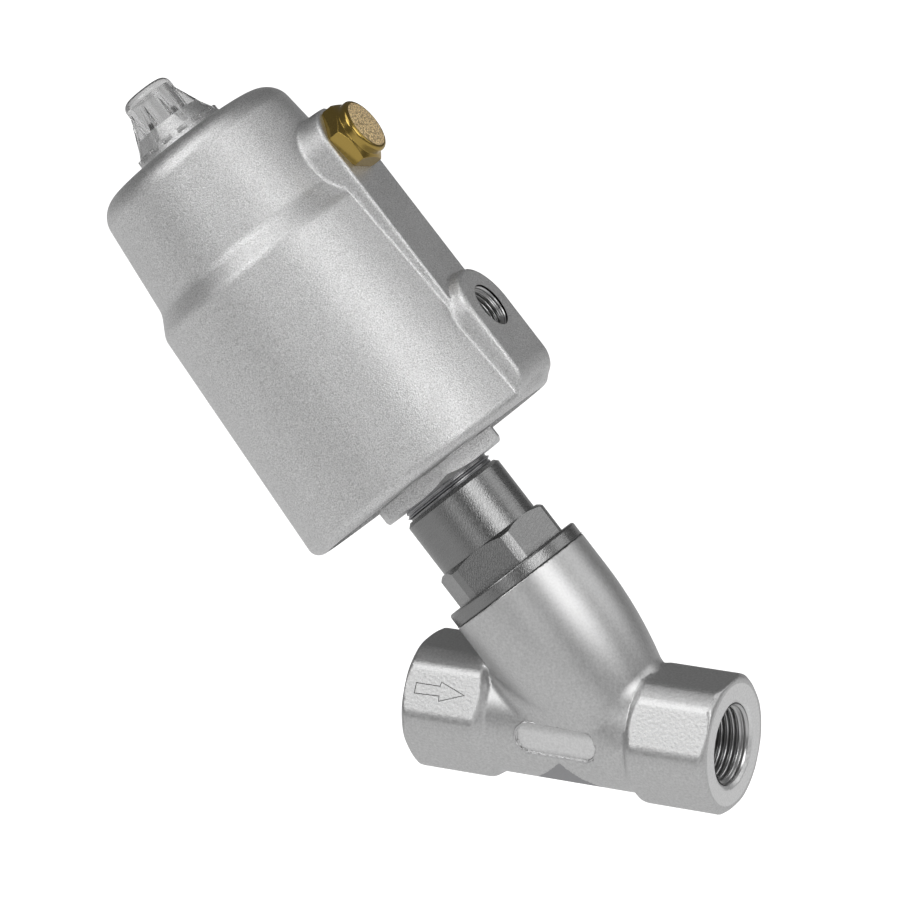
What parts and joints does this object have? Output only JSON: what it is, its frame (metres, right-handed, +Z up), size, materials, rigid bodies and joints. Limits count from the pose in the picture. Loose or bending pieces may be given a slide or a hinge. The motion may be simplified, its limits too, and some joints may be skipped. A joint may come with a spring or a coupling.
{
  "type": "pneumatic shut-off valve",
  "caption": "Angle-seat shut-off valve: hexagonal pipe sockets, a leaning neck and bonnet, and a cast piston actuator with silencer, air port and clear position dome.",
  "frame": {"origin": "centre of the inlet port's face", "axes": "+X along the pipe from inlet to outlet, +Z up, the spindle leans towards -X in the XZ plane"},
  "size_m": [0.1344, 0.0606, 0.142],
  "materials": {
    "body_steel": "satin, cast",
    "bonnet_steel": "satin, turned",
    "ground_steel": "ground",
    "cast_aluminium": "bead-blasted",
    "piston_aluminium": "turned",
    "spring_steel": "drawn",
    "bush_bronze": "turned",
    "brass": "turned",
    "sintered_brass": "sintered",
    "ptfe": "matte",
    "gasket": "matte",
    "seal_rubber": "matte",
    "indicator_red": "gloss",
    "clear_plastic": "clear"
  },
  "bodies": {
    "valve": {"valve_body": "body_steel", "bonnet_gasket": "gasket", "bonnet": "bonnet_steel", "stem_wiper": "ptfe", "lower_guide_bush": "bush_bronze", "disc_springs": "spring_steel", "packing_washer": "ptfe", "packing_rings": "ptfe", "packing_gland": "bush_bronze", "base_cover": "cast_aluminium", "bonnet_seal": "seal_rubber", "rod_bush": "bush_bronze", "rod_seal": "seal_rubber", "rod_seal_retainer": "ground_steel", "base_cover_oring": "seal_rubber", "retaining_ring": "spring_steel", "cylinder_housing": "cast_aluminium", "spring_seat": "ground_steel", "main_spring": "spring_steel", "indicator_dome": "clear_plastic", "silencer_body": "brass", "silencer_disc": "sintered_brass"},
    "stem_and_piston": {"stem": "ground_steel", "plug": "bonnet_steel", "seat_disc": "ptfe", "disc_washer": "bonnet_steel", "disc_nut": "bonnet_steel", "plug_pin": "bonnet_steel", "piston": "piston_aluminium", "piston_seal": "seal_rubber", "piston_guide_ring": "ptfe", "piston_washer": "ground_steel", "piston_nut": "ground_steel", "indicator_rod": "indicator_red"}
  },
  "joints": [
    {"name": "stem_travel", "type": "slide", "parent": "valve", "child": "stem_and_piston", "axis": [-0.6428, 0, 0.766], "range_m": [0, 0.008], "stiffness_N_per_m": 2500, "springref_m": -0.012, "deforming": ["main_spring"]}
  ]
}
